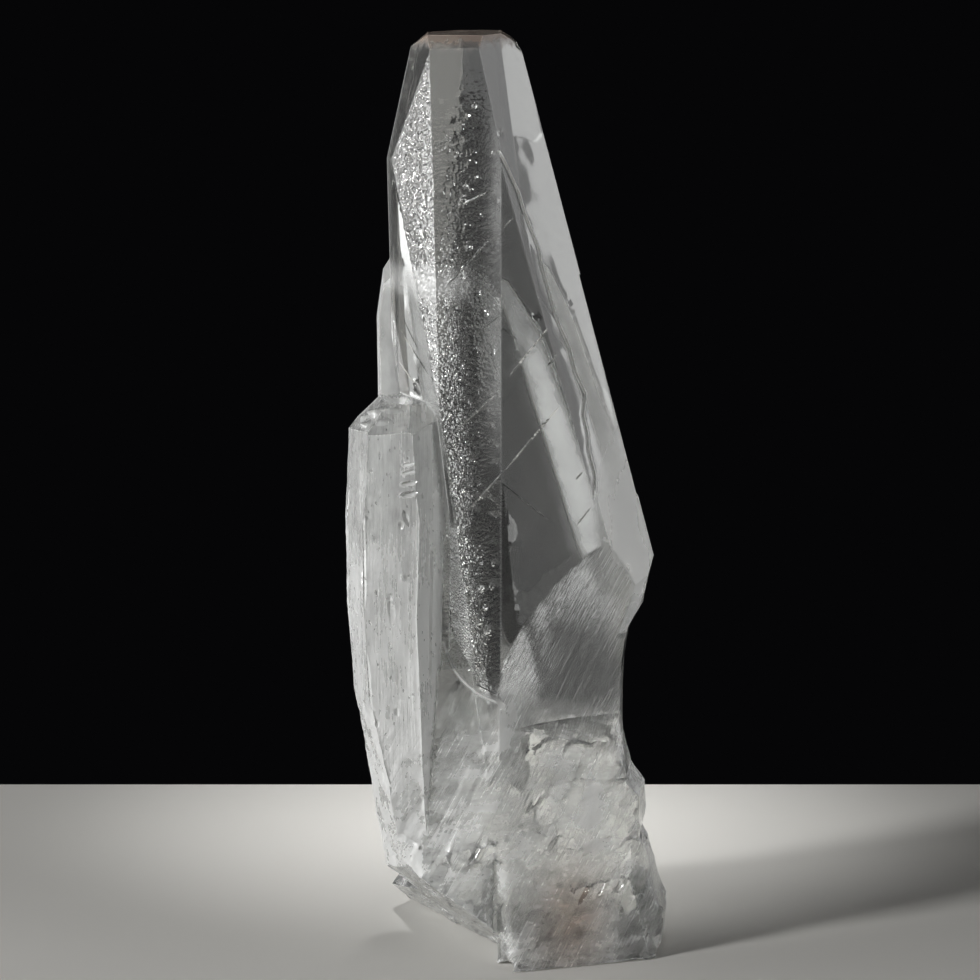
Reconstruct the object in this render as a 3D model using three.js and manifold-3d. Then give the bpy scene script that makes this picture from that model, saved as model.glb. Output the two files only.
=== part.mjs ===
// A calcite specimen that stands on its broken base: one natural growth, so one solid.
// Millimetres, +Z up. The front is -Y and the right is +X.
//
// Every crystal is a block cut by flat faces. A face is given by its azimuth (0 looks to the
// front, 90 to the right), its tilt (positive looks up) and its reach, the distance from the
// crystal's own upright axis, measured level at the axis's reference height.
// A place on a face is [across, height]: across runs to the right of the face's middle as
// someone who faces it sees it, and height is above the floor.

import * as THREE from "three";
import { ConvexGeometry } from "three/addons/geometries/ConvexGeometry.js";
import { mergeVertices } from "three/addons/utils/BufferGeometryUtils.js";
import Module from "manifold-3d";

const wasm = await Module();
wasm.setup();

// ---------- driving sizes ----------

const height = 95.8;
const stockSide = 70;
const beyondSide = 260;

// The tall clear crystal
const mainAxis = { x: 0, y: 0, level: 60 };
const mainFaces = {
  front: { azimuth: -4, tilt: 4, reach: 8.81 },
  frontRight: { azimuth: 18, tilt: 3.8, reach: 8.81 },
  right: { azimuth: 60, tilt: 12.95, reach: 10.16 },
  backRight: { azimuth: 106, tilt: 14.2, reach: 11.95 },
  backRightCorner: { azimuth: 146, tilt: 10, reach: 11.9 },
  back: { azimuth: -176, tilt: 7, reach: 9.0 },
  backLeftCorner: { azimuth: -156, tilt: 5, reach: 8.9 },
  backLeft: { azimuth: -133, tilt: 6.6, reach: 8.9 },
  backLeftLower: { azimuth: -128, tilt: -2, reach: 9.3 },
  leftLower: { azimuth: -66, tilt: -5.26, reach: 8.34 },
  leftUpper: { azimuth: -66, tilt: 12.7, reach: 15.69 },
  frontLeft: { azimuth: -40, tilt: 2.17, reach: 9.84 },
};
const mainTop = [
  { azimuth: -90, tilt: 52, at: [-7.1, 0, 95.2] },
  { azimuth: -90, tilt: 27, at: [-8.9, 0, 92.9] },
  { azimuth: 90, tilt: 56, at: [2.0, 0, 95.2] },
  { azimuth: 85, tilt: 34, at: [3.3, 0, 93.7] },
  { azimuth: -6, tilt: 48, at: [0, -5.9, 95.1] },
  { azimuth: 175, tilt: 42, at: [0, 4.1, 95.1] },
];

// The shorter frosted crystal on the lower left, barrel-shaped
const sideAxis = { x: -9.9, y: -4.6, level: 42 };
const sideHeight = 58.6;
const sideFaces = {
  front: { azimuth: -7, tilt: 1, reach: 7.3 },
  frontUpper: { azimuth: -7, tilt: 8, reach: 8.3 },
  frontLower: { azimuth: -10, tilt: -5, reach: 7.6 },
  rightUpper: { azimuth: 55, tilt: 7.5, reach: 7.45 },
  right: { azimuth: 55, tilt: -1, reach: 6.62 },
  leftUpper: { azimuth: -74, tilt: 4.5, reach: 5.17 },
  left: { azimuth: -74, tilt: 0, reach: 4.82 },
  leftLower: { azimuth: -74, tilt: -4.6, reach: 5.12 },
  leftFoot: { azimuth: -74, tilt: -11.3, reach: 6.72 },
  backLeft: { azimuth: -118, tilt: -2, reach: 4.6 },
  back: { azimuth: -160, tilt: -1, reach: 4.4 },
  inner: { azimuth: 96, tilt: 0, reach: 5.5 },
};
const sideTop = [
  { azimuth: -18, tilt: 66, at: [-10.5, -8.6, 57.2] },
  { azimuth: -80, tilt: 50, at: [-13.2, -4.6, 56.5] },
  { azimuth: 34, tilt: 62, at: [-7.4, -8.6, 57.3] },
];
// Lumps on the ledge where the side crystal stops: [x, y, z, radius]
const ledgeLumps = [
  [-11.6, -5.4, 57.6, 1.5], [-9.9, -6.2, 57.9, 1.3], [-8.3, -7.2, 57.2, 1.2], [-12.8, -6.6, 56.6, 1.1],
  [-10.9, -8.1, 57.0, 1.2], [-8.9, -9.3, 56.6, 1.0], [-7.1, -9.2, 56.5, 0.9], [-12.6, -3.8, 56.8, 1.2],
  [-10.6, -3.4, 58.1, 1.3],
];

// The thin crystal that shows behind the left edge
const sliverAxis = { x: -9.45, y: 3.4, level: 62 };
const sliverHeight = 74;
const sliverFaces = {
  front: { azimuth: -20, tilt: 2, reach: 2.3 },
  left: { azimuth: -82, tilt: -1, reach: 2.2 },
  leftUpper: { azimuth: -82, tilt: 9, reach: 2.95 },
  backLeft: { azimuth: -135, tilt: 1, reach: 2.0 },
  back: { azimuth: 178, tilt: 1, reach: 2.4 },
  inner: { azimuth: 100, tilt: 0, reach: 2.5 },
};
const sliverEnds = [
  { azimuth: -60, tilt: 40, at: [-11.0, 3.4, 70.6] },
  { azimuth: -100, tilt: -38, at: [-11.6, 3.4, 40] },
];

// The broken ground between the side crystal and the main one
const webAxis = { x: -3, y: -4, level: 20 };
const webHeight = 36;
const webFaces = {
  front: { azimuth: -6, tilt: 4, reach: 6.4 },
  left: { azimuth: -88, tilt: 2, reach: 4.2 },
  back: { azimuth: 178, tilt: 4, reach: 7 },
  inner: { azimuth: 92, tilt: 0, reach: 3.2 },
};
const webTop = [
  { azimuth: -52, tilt: 34, at: [-4.8, -10.4, 33.2] },
  { azimuth: -12, tilt: 50, at: [-2.4, -10.6, 31.0] },
];

// The low root that spreads behind and fills the foot
const rootAxis = { x: 2, y: 5, level: 8 };
const rootHeight = 21;
const rootFaces = {
  left: { azimuth: -82, tilt: 30, reach: 8.6 },
  backLeft: { azimuth: -138, tilt: 24, reach: 11.4 },
  back: { azimuth: 172, tilt: 21, reach: 10.4 },
  backRight: { azimuth: 124, tilt: 17, reach: 12.6 },
  right: { azimuth: 90, tilt: 6, reach: 13.4 },
  front: { azimuth: 0, tilt: 10, reach: 8 },
};
const rootTop = [
  { azimuth: -160, tilt: 55, at: [-1.0, 13.0, 16.0] },
  { azimuth: 150, tilt: 62, at: [6.0, 13.5, 17.5] },
];

// Right edge of the broken lower part, as [x, z], from the chip down to the floor
const brokenEdge = [
  [17.3, 42.6], [16.45, 39.3], [15.95, 36.6], [14.5, 34.2], [14.0, 30.8], [13.85, 27.0],
  [13.95, 22.9], [14.8, 19.3], [16.25, 17.2], [16.4, 14.4], [16.1, 12.5], [16.6, 11.4],
  [17.9, 7.0], [18.6, 4.9], [18.75, 3.6], [18.5, 1.3], [17.6, -1.0],
];

// The broken side is turned once towards the front and once towards the back, about these points
const brokenTurns = [{ turn: -6, about: [16, 0] }, { turn: 13, about: [16, 2] }];

// Shell-like fracture in the right faces, part of a ball, and the ledge that ends it below
const fracture = { radius: 60, azimuth: 30, tilt: -6, at: [9.1, -6.8, 33.3], sink: 0.9 };
const fractureLedge = { azimuth: 30, tilt: 58, at: [6.0, -10.2, 24.0] };

// Small flat chips that only reach between two heights
const chips = [
  { azimuth: 66, tilt: -18, at: [15.3, -2.3, 38], from: 33.5, to: 43 },
  { azimuth: 52, tilt: 10, at: [16.4, -5.9, 6], from: -1, to: 12.6 },
  { azimuth: 118, tilt: -14, at: [15.6, 8.0, 34], from: 29, to: 41 },
];

// Below this line the front is cleaved away and lies lower than the etched face above
const cleavedDepth = 0.8;
const cleavedFront = [
  [-6.5, 36.5], [-4.7, 35.6], [-4.1, 34.0], [-3.2, 32.3], [-2.0, 31.15], [-0.3, 30.05],
  [1.3, 29.3], [2.2, 28.2], [9.0, 27.4], [9.0, -2], [-6.5, -2],
];
const cleavedFrontRight = [
  [-7.0, 29.0], [-1.6, 27.4], [2.6, 24.6], [7.5, 23.2], [12.0, 23.8], [22.0, 22.0], [22.0, -2], [-7.0, -2],
];

// Steep striations on the lower front; those on the front face as [across, height, length]
const striationAngle = 62;
const frontStriations = [[-3.4, 14, 8], [-2.4, 9, 9], [-1.2, 16, 7], [0.2, 8, 10]];

// Growth layer on the right face: left of this wavy line the face lies lower
const growthDepth = 0.25;
const growthLine = [
  [-5.9, 84.6], [-4.8, 82.6], [-3.6, 80.0], [-3.3, 78.3], [-1.9, 74.5], [-1.8, 72.6], [-1.4, 69.9],
  [-1.0, 67.2], [0.5, 64.0], [0.7, 61.5], [1.9, 59.2], [0.5, 57.2], [0.65, 55.4], [0.2, 53.6],
  [0.5, 51.0], [-0.8, 48.1], [-0.6, 45.7], [0.4, 44.4],
];

// Thin cleavage cracks that reach the surface: face, from, to
const cracks = [
  ["front", [-3.3, 78.6], [1.0, 80.5]], ["front", [-4.0, 70.6], [0.4, 75.4]],
  ["front", [-1.0, 65.9], [1.8, 68.1]], ["front", [-3.4, 55.6], [1.6, 60.4]],
  ["front", [-2.2, 47.4], [2.0, 52.1]], ["frontRight", [-1.1, 76.6], [0.1, 77.8]],
  ["frontRight", [-0.7, 61.8], [4.5, 67.5]], ["frontRight", [3.2, 62.5], [4.7, 63.9]],
  ["frontRight", [-1.4, 52.2], [4.7, 58.6]], ["frontRight", [6.1, 50.8], [6.9, 51.6]],
  ["frontRight", [6.2, 46.2], [7.7, 47.9]], ["leftLower", [-3.1, 65.5], [3.6, 61.6]],
  ["leftLower", [-4.2, 62.0], [0.6, 59.7]], ["back", [-4.6, 44.0], [3.4, 50.6]],
  ["back", [-2.0, 63.0], [4.2, 67.8]], ["backLeft", [-2.0, 52.0], [3.0, 47.8]],
];
const crackWidth = 0.16;
const crackDepth = 0.32;

// Flat facet let into the back, inside this outline on it; it deepens to the right and ends in a riser
const backFacet = { azimuth: 168, tilt: 11.3, reach: 9.23 };
const backFacetOutline = [
  [3.6, 70.6], [1.6, 69.6], [-1.5, 64.5], [-3.0, 59.7], [-4.4, 55.0], [-6.3, 49.5], [-7.1, 44.0],
  [-7.4, 38.0], [-1.0, 38.0],
];

// Depth of the growth layers elsewhere on the back
const layerDepth = 0.18;

// Oblique underside on the left, through three points, and the upright step beside the foot
const underside = [[-10.96, -6, 10.6], [1.13, -10, 3.2], [-5.9, 10, 0]];
const stepAt = 0.7;

// ---------- joining and cutting ----------

const { Manifold, Mesh } = wasm;

function solidOf(geometry) {
  const plain = geometry.index ? geometry.toNonIndexed() : geometry.clone();
  plain.deleteAttribute("normal");
  plain.deleteAttribute("uv");
  const merged = mergeVertices(plain, 1e-5);
  return new Manifold(new Mesh({
    numProp: 3,
    vertProperties: Float32Array.from(merged.attributes.position.array),
    triVerts: Uint32Array.from(merged.index.array),
  }));
}

function geometryOf(solid) {
  const { vertProperties, triVerts, numProp } = solid.getMesh();
  const corners = vertProperties.length / numProp;
  const places = new Float32Array(corners * 3);
  for (let i = 0; i < corners; i++) {
    for (let k = 0; k < 3; k++) places[i * 3 + k] = vertProperties[i * numProp + k];
  }
  const geometry = new THREE.BufferGeometry();
  geometry.setAttribute("position", new THREE.BufferAttribute(places, 3));
  geometry.setIndex(new THREE.BufferAttribute(Uint32Array.from(triVerts), 1));
  return geometry;
}

// The same numbers every time, so that the pits always fall in the same places
function dice(seed) {
  let state = seed;
  return (low, high) => {
    state = (state * 1664525 + 1013904223) % 4294967296;
    return low + (high - low) * (state / 4294967296);
  };
}

// ---------- flat faces ----------

const upright = new THREE.Vector3(0, 0, 1);

function facing(azimuth, tilt) {
  const a = THREE.MathUtils.degToRad(azimuth);
  const t = THREE.MathUtils.degToRad(tilt);
  return new THREE.Vector3(Math.sin(a) * Math.cos(t), -Math.cos(a) * Math.cos(t), Math.sin(t));
}

// A block whose one side lies on the plane through a point, outside it
function beyond(normal, point) {
  const block = new THREE.BoxGeometry(beyondSide, beyondSide, beyondSide);
  block.translate(0, 0, beyondSide / 2);
  block.applyQuaternion(new THREE.Quaternion().setFromUnitVectors(upright, normal));
  block.translate(point.x, point.y, point.z);
  return solidOf(block);
}

function planeOf({ azimuth, tilt, at }) {
  return { normal: facing(azimuth, tilt), point: new THREE.Vector3(...at) };
}

function faceOf(axis, { azimuth, tilt, reach }) {
  const point = facing(azimuth, 0).multiplyScalar(reach).add(new THREE.Vector3(axis.x, axis.y, axis.level));
  return { normal: facing(azimuth, tilt), point };
}

function crystal(axis, faces, top, ends) {
  const stock = new THREE.BoxGeometry(stockSide, stockSide, top);
  stock.translate(axis.x, axis.y, top / 2);
  const sides = Object.values(faces).map((face) => faceOf(axis, face));
  return [...sides, ...ends.map(planeOf)]
    .reduce((left, { normal, point }) => left.subtract(beyond(normal, point)), solidOf(stock));
}

// ---------- tools that work on a face ----------

// Takes [across, height, out] on a face to its place in space
function placer(axis, face) {
  const { normal, point } = faceOf(axis, face);
  const turn = THREE.MathUtils.degToRad(face.azimuth);
  const across = new THREE.Vector3(Math.cos(turn), Math.sin(turn), 0);
  const up = normal.clone().cross(across);
  const frame = new THREE.Matrix4().makeBasis(across, up, normal).setPosition(point);
  const rise = Math.cos(THREE.MathUtils.degToRad(face.tilt));
  return {
    frame,
    local: ([u, z], out = 0) => new THREE.Vector3(u, (z - axis.level) / rise, out),
  };
}

// A plate on the face with the given outline, from one distance out of it to another
function plate({ frame, local }, outline, from, to) {
  const shape = new THREE.Shape(outline.map((place) => {
    const { x, y } = local(place);
    return new THREE.Vector2(x, y);
  }));
  const geometry = new THREE.ExtrudeGeometry(shape, { depth: to - from, bevelEnabled: false });
  geometry.translate(0, 0, from);
  return solidOf(geometry.applyMatrix4(frame));
}

// A slender boat shape along a line on the face: cut it for a groove, add it for a rib
function boat({ frame, local }, start, end, width, depth, blunt = 0.2) {
  const a = local(start);
  const b = local(end);
  const side = b.clone().sub(a).cross(new THREE.Vector3(0, 0, 1)).setLength(width / 2);
  const points = [a, b];
  for (const share of [blunt, 1 - blunt]) {
    const middle = a.clone().lerp(b, share);
    points.push(middle.clone().add(side), middle.clone().sub(side));
    points.push(middle.clone().add(new THREE.Vector3(0, 0, depth)));
    points.push(middle.clone().add(new THREE.Vector3(0, 0, -depth)));
  }
  return solidOf(new ConvexGeometry(points).applyMatrix4(frame));
}

// An etch pit: a shallow pyramid with its point sunk in the face
function pit({ frame, local }, place, wide, tall, depth, turn) {
  const cone = new THREE.ConeGeometry(1, 2, 6);
  cone.rotateX(-Math.PI / 2);
  cone.rotateZ(turn);
  cone.scale(wide * 2, tall * 2, depth);
  const { x, y } = local(place);
  return solidOf(cone.translate(x, y, 0).applyMatrix4(frame));
}

// Scatters pits over a face, each clear of the others, inside limits that depend on height
function scatterPits(place, { count, low, high, limits, size, stretch, depth, apart, seed }) {
  const pick = dice(seed);
  const taken = [];
  const made = [];
  for (let tries = 0; tries < count * 12 && made.length < count; tries++) {
    const z = pick(low, high);
    const [left, right] = limits(z);
    const u = pick(left, right);
    const wide = pick(...size);
    const clear = taken.every(([otherU, otherZ]) => Math.hypot(u - otherU, z - otherZ) > apart);
    if (!clear) continue;
    taken.push([u, z]);
    made.push(pit(place, [u, z], wide, wide * pick(...stretch), pick(...depth), pick(0, Math.PI)));
  }
  return made;
}

// ---------- the broken parts ----------

function brokenSide() {
  const far = 60;
  const outline = [...brokenEdge, [far, brokenEdge.at(-1)[1]], [far, brokenEdge[0][1]]];
  const shape = new THREE.Shape(outline.map(([x, z]) => new THREE.Vector2(x, z)));
  return brokenTurns.map(({ turn, about }) => {
    const cutter = new THREE.ExtrudeGeometry(shape, { depth: stockSide, bevelEnabled: false });
    cutter.translate(0, 0, -stockSide / 2);
    cutter.rotateX(Math.PI / 2);
    cutter.translate(-about[0], -about[1], 0);
    cutter.rotateZ(THREE.MathUtils.degToRad(turn));
    return solidOf(cutter.translate(...about, 0));
  });
}

function shellFracture() {
  const { radius, at, azimuth, tilt, sink } = fracture;
  const ball = new THREE.SphereGeometry(radius, 200, 140);
  const centre = facing(azimuth, tilt).multiplyScalar(radius - sink).add(new THREE.Vector3(...at));
  ball.translate(centre.x, centre.y, centre.z);
  const ledge = planeOf(fractureLedge);
  return solidOf(ball).subtract(beyond(ledge.normal.negate(), ledge.point));
}

function chip({ from, to, ...flat }) {
  const { normal, point } = planeOf(flat);
  return beyond(normal, point)
    .subtract(beyond(upright, new THREE.Vector3(0, 0, to)))
    .subtract(beyond(upright.clone().negate(), new THREE.Vector3(0, 0, from)));
}

function undercut() {
  const [a, b, c] = underside.map((p) => new THREE.Vector3(...p));
  const normal = b.clone().sub(a).cross(c.clone().sub(a)).normalize();
  if (normal.z > 0) normal.negate();
  const besideFoot = beyond(new THREE.Vector3(-1, 0, 0), new THREE.Vector3(stepAt, 0, 0));
  return beyond(normal, a).intersect(besideFoot);
}

// ---------- the details ----------

const on = Object.fromEntries(
  Object.entries(mainFaces).map(([name, face]) => [name, placer(mainAxis, face)]),
);
const onSide = Object.fromEntries(
  Object.entries(sideFaces).map(([name, face]) => [name, placer(sideAxis, face)]),
);
// The two front faces again, where the cleavage has lowered them
const onBase = Object.fromEntries(["front", "frontRight"].map((name) => {
  const face = mainFaces[name];
  return [name, placer(mainAxis, { ...face, reach: face.reach - cleavedDepth })];
}));

function growthStep() {
  const beside = [[-14, 44.4], [-14, 84.6]];
  return plate(on.right, [...growthLine, ...beside], -growthDepth, 2);
}

function etchPits() {
  const shared = { stretch: [0.9, 1.5], depth: [0.14, 0.3], apart: 1.25 };
  return [
    ...scatterPits(on.front, {
      ...shared, count: 110, low: 35.5, high: 90, size: [0.3, 0.6], seed: 11,
      limits: (z) => [z > 62 ? -4.5 : -3.6, z > 84 ? -0.6 : 1.2],
    }),
    ...scatterPits(on.frontLeft, {
      ...shared, count: 34, low: 66, high: 87, size: [0.35, 0.6], seed: 23,
      limits: (z) => [-3.6 + Math.max(0, 78 - z) * 0.22, -0.9 + Math.max(0, 78 - z) * 0.06],
    }),
    ...scatterPits(on.back, {
      ...shared, count: 40, low: 22, high: 84, size: [0.35, 0.75], seed: 31,
      limits: () => [-3.5, 3.0],
    }),
    ...scatterPits(on.backLeft, {
      ...shared, count: 22, low: 60, high: 88, size: [0.3, 0.55], seed: 37,
      limits: () => [-2.0, 2.2],
    }),
  ];
}

// Fine steps of broken cleavage, steep and up to the right, on the lower front
function striations() {
  const pick = dice(5);
  const slope = Math.tan(THREE.MathUtils.degToRad(striationAngle));
  const made = [];
  for (let across = -3.2; across < 13.4; across += pick(0.75, 1.35)) {
    const low = pick(1.2, 9);
    const long = pick(4, 9.5);
    const end = [across + long / slope, low + long];
    made.push(boat(onBase.frontRight, [across, low], end, pick(0.25, 0.45), pick(0.1, 0.2)));
  }
  for (const [across, low, long] of frontStriations) {
    made.push(boat(onBase.front, [across, low], [across + long / slope, low + long], 0.35, 0.15));
  }
  return made;
}

// Nearly level ledges across the lower front, left standing by the cleavage
function baseLedges() {
  const ledgeHeight = 0.16;
  const ledges = [
    [[-1.5, 20.6], [5.2, 21.5], [11.2, 20.6], [11.6, 19.2], [6.5, 19.6], [0.5, 18.8]],
    [[-1.9, 13.8], [1.0, 14.4], [5.6, 13.6], [6.2, 12.3], [0.8, 12.6], [-1.9, 11.9]],
    [[5.0, 8.2], [10.8, 9.0], [13.4, 8.2], [13.0, 6.8], [9.6, 7.5], [5.8, 6.6]],
  ];
  const frontLedge = [[-3.8, 12.4], [1.5, 13.7], [1.5, 11.9], [-3.2, 10.8]];
  return [
    ...ledges.map((outline) => plate(onBase.frontRight, outline, -0.6, ledgeHeight)),
    plate(onBase.front, frontLedge, -0.6, ledgeHeight),
  ];
}

function sideGrooves() {
  const bars = [53.3, 52.5, 51.4, 50.3];
  return [
    boat(onSide.right, [0.3, 46.2], [0.0, 27.0], 1.1, 0.8, 0.08),
    boat(onSide.right, [-2.2, 45.0], [-2.4, 30.0], 0.4, 0.3, 0.1),
    ...bars.map((z) => boat(onSide.front, [1.7, z - 0.25], [3.4, z + 0.1], 0.42, 0.5)),
    boat(onSide.front, [2.0, 48.6], [2.6, 46.8], 0.4, 0.4),
    boat(onSide.front, [-2.2, 50.0], [-2.0, 36.0], 0.45, 0.2, 0.1),
    boat(onSide.front, [0.6, 40.0], [0.9, 26.0], 0.5, 0.22, 0.1),
    boat(onSide.frontLower, [-1.6, 34.0], [-0.9, 18.0], 0.5, 0.22, 0.1),
    boat(onSide.frontLower, [-1.2, 15.6], [3.6, 12.9], 0.3, 0.5),
    boat(onSide.left, [-1.2, 52.0], [-1.0, 30.0], 0.4, 0.25, 0.1),
  ];
}

function sidePits() {
  return [
    ...scatterPits(onSide.front, {
      count: 26, low: 33, high: 54, size: [0.2, 0.4], stretch: [1.3, 2.6], depth: [0.14, 0.26],
      apart: 1.3, seed: 41, limits: () => [-2.6, 2.2],
    }),
    ...scatterPits(onSide.frontLower, {
      count: 14, low: 17, high: 29, size: [0.2, 0.42], stretch: [1.3, 2.4], depth: [0.14, 0.26],
      apart: 1.4, seed: 43, limits: () => [-1.4, 2.6],
    }),
    ...scatterPits(onSide.backLeft, {
      count: 16, low: 22, high: 53, size: [0.25, 0.5], stretch: [1.2, 2.2], depth: [0.14, 0.26],
      apart: 1.5, seed: 47, limits: () => [-1.6, 1.6],
    }),
  ];
}

function ledgeLump([x, y, z, radius], index) {
  const lump = new THREE.IcosahedronGeometry(radius, 1);
  lump.rotateX(index * 1.3);
  lump.rotateZ(index * 2.1);
  lump.scale(1, 1, 0.55);
  return solidOf(lump.translate(x, y, z));
}

// Angular growth layers on the back faces, with the ground beside them lower
function backLayers() {
  return [
    plate(placer(mainAxis, backFacet), backFacetOutline, 0, 3),
    plate(on.backRight, [[-8, 74.0], [-1.0, 70.5], [0.8, 58.0], [-0.6, 49.0], [-8, 46.0]], -layerDepth, 2),
    plate(on.backRightCorner, [[-6, 36.0], [1.5, 34.5], [2.6, 27.0], [-6, 22.5]], -layerDepth, 2),
  ];
}

// Bites out of the worn rim round the top
function rimBites() {
  const pick = dice(71);
  const bites = [];
  for (let x = -7.4; x < 2.6; x += pick(0.8, 1.3)) {
    const bite = new THREE.IcosahedronGeometry(pick(0.3, 0.5), 0);
    bite.rotateZ(x * 3);
    bites.push(solidOf(bite.translate(x, -6.15 + pick(-0.1, 0.15), 95.35 + pick(-0.2, 0.3))));
  }
  return bites;
}

// ---------- the specimen ----------

function grow() {
  const cutAll = (solid, tools) => tools.reduce((left, tool) => left.subtract(tool), solid);
  const addAll = (solid, pieces) => pieces.reduce((left, piece) => left.add(piece), solid);

  let main = crystal(mainAxis, mainFaces, height, mainTop);
  main = cutAll(main, [growthStep(), ...backLayers(), ...brokenSide(), shellFracture()]);
  main = cutAll(main, [plate(on.front, cleavedFront, -cleavedDepth, 3)]);
  main = cutAll(main, [plate(on.frontRight, cleavedFrontRight, -cleavedDepth, 3)]);
  main = addAll(main, baseLedges());
  main = cutAll(main, [...striations(), ...etchPits(), ...rimBites()]);
  main = cutAll(main, cracks.map(([name, from, to]) => boat(on[name], from, to, crackWidth, crackDepth)));

  let side = crystal(sideAxis, sideFaces, sideHeight, sideTop);
  side = addAll(side, ledgeLumps.map(ledgeLump));
  side = cutAll(side, [...sideGrooves(), ...sidePits()]);

  const sliver = crystal(sliverAxis, sliverFaces, sliverHeight, sliverEnds);
  const root = crystal(rootAxis, rootFaces, rootHeight, rootTop);
  const web = crystal(webAxis, webFaces, webHeight, webTop);
  return cutAll(addAll(main, [sliver, web, side, root]), [...chips.map(chip), undercut()]);
}

const shape = geometryOf(grow());
shape.computeBoundingBox();
const { min, max } = shape.boundingBox;
shape.translate(-(min.x + max.x) / 2, -(min.y + max.y) / 2, -min.z);

const calcite = new THREE.Mesh(
  shape,
  new THREE.MeshStandardMaterial({ color: 0xc9cbca, roughness: 0.15, metalness: 0 }),
);
calcite.name = "calcite_crystal";

const specimen = new THREE.Group();
specimen.add(calcite);

export default specimen;
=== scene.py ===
# Calcite specimen: a tall clear crystal with a frosted one grown against it, on a pale floor.
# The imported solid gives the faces. Here they get a finer skin, their etching and their finish.
import math

import bmesh
import bpy
import numpy as np
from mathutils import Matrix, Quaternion, Vector, geometry, kdtree


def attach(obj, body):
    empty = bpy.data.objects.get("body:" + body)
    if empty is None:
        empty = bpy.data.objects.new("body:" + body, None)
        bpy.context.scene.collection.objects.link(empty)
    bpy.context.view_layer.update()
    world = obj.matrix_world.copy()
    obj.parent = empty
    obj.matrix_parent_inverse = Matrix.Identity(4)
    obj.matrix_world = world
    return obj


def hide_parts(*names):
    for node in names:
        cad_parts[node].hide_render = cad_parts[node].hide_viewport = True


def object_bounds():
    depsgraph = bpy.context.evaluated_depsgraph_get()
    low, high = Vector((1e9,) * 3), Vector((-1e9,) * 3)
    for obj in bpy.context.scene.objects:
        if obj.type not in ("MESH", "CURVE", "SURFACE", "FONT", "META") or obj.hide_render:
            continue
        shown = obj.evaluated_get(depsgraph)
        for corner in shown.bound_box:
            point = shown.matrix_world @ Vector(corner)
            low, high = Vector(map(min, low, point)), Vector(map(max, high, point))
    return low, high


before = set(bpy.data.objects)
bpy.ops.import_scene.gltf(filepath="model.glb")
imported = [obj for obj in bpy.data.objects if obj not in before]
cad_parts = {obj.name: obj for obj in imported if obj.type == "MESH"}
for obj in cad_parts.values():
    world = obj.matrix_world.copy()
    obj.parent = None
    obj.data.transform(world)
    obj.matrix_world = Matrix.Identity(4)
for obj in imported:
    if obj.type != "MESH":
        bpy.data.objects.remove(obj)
bpy.context.view_layer.update()
cadLow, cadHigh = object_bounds()
mm = 0.001
scene = bpy.context.scene
print("frame loaded")


def facing(azimuth, tilt=0.0):
    # azimuth 0 looks to the front (-Y), 90 to the right (+X); a positive tilt looks up
    a, t = math.radians(azimuth), math.radians(tilt)
    return np.array([math.sin(a) * math.cos(t), -math.cos(a) * math.cos(t), math.sin(t)])


def fade(low, high, values):
    share = np.clip((values - low) / (high - low), 0.0, 1.0)
    return share * share * (3 - 2 * share)


def linear(hexColour, alpha=1.0):
    parts = [int(hexColour[k:k + 2], 16) / 255 for k in (1, 3, 5)]
    return [p / 12.92 if p <= 0.04045 else ((p + 0.055) / 1.055) ** 2.4 for p in parts] + [alpha]


def addNode(tree, kind, links=None, **settings):
    # settings are node properties; links maps an input's name or number to a value or a socket
    node = tree.nodes.new(kind)
    for name, value in settings.items():
        setattr(node, name, value)
    for name, value in (links or {}).items():
        socket = node.inputs[name]
        if isinstance(value, bpy.types.NodeSocket):
            tree.links.new(value, socket)
        else:
            socket.default_value = value
    return node


# The tall crystal's upright axis follows from two of its faces, which reach these far at this height
crystal = {
    "level": 60.0,
    "etched": {"azimuth": -4, "tilt": 4, "reach": 8.81},
    "strip": {"azimuth": -40, "tilt": 2.17},
    "left": {"azimuth": -66, "tilt": -5.26},
    "leftUpper": {"azimuth": -66, "tilt": 12.7},
    "grey": {"azimuth": 60, "tilt": 12.95, "reach": 10.16},
    "backFacet": {"azimuth": 168, "tilt": 11.3},
}
# How far in degrees a region may turn from a face and still belong to it
turnedWithin = {"axis": 0.6, "spacing": 0.7, "marks": 0.8, "left": 1.5}

# Places on the specimen, in mm from the crystal's axis and above the floor. A pair is a soft limit: where
# it begins and where it is full
zones = {
    "facesAbove": 50,
    "etchedAbove": 40,
    "lowerBelow": 36,
    "hollow": {"across": 5.5, "front": -4.5, "above": 34},
    "side": {"leftOf": -6.2, "below": 60, "markLeftOf": -5.6, "markBelow": 60.5, "front": 0.6,
             "middle": (52, 38), "fluted": (12, 20)},
    "sliver": {"leftOf": -6.4, "left": (-7.6, -8.6)},
    "riser": {"rightOf": 1, "above": 43, "offGrey": 0.35, "toFront": -0.5},
    "bars": {"leftOf": -6.2, "rightOf": -9, "front": -7, "above": 49, "below": 54, "level": 0.85},
    "shell": {"rightOf": -1, "above": 23, "below": 46, "area": 100, "azimuth": 30, "tilt": -6,
              "along": 0.88},
    "etching": {"right": (-2.0, 1.2), "shift": 1.5, "shiftFrom": (54, 48), "top": (95, 80),
                "thinned": 0.8},
    "lowerLeft": {"left": (-5.3, -4.7), "right": (0.5, -0.5), "foot": (30, 32), "top": (47, 45),
                  "front": -6, "share": 0.8},
    "band": {"foot": (68.5, 70.4), "top": (73.2, 71.2), "right": (-1.0, -3.0), "back": 2},
    "low": (28, 23),
    "glassy": {"left": (12.2, 15.0), "top": (19, 14)},
}

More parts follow.
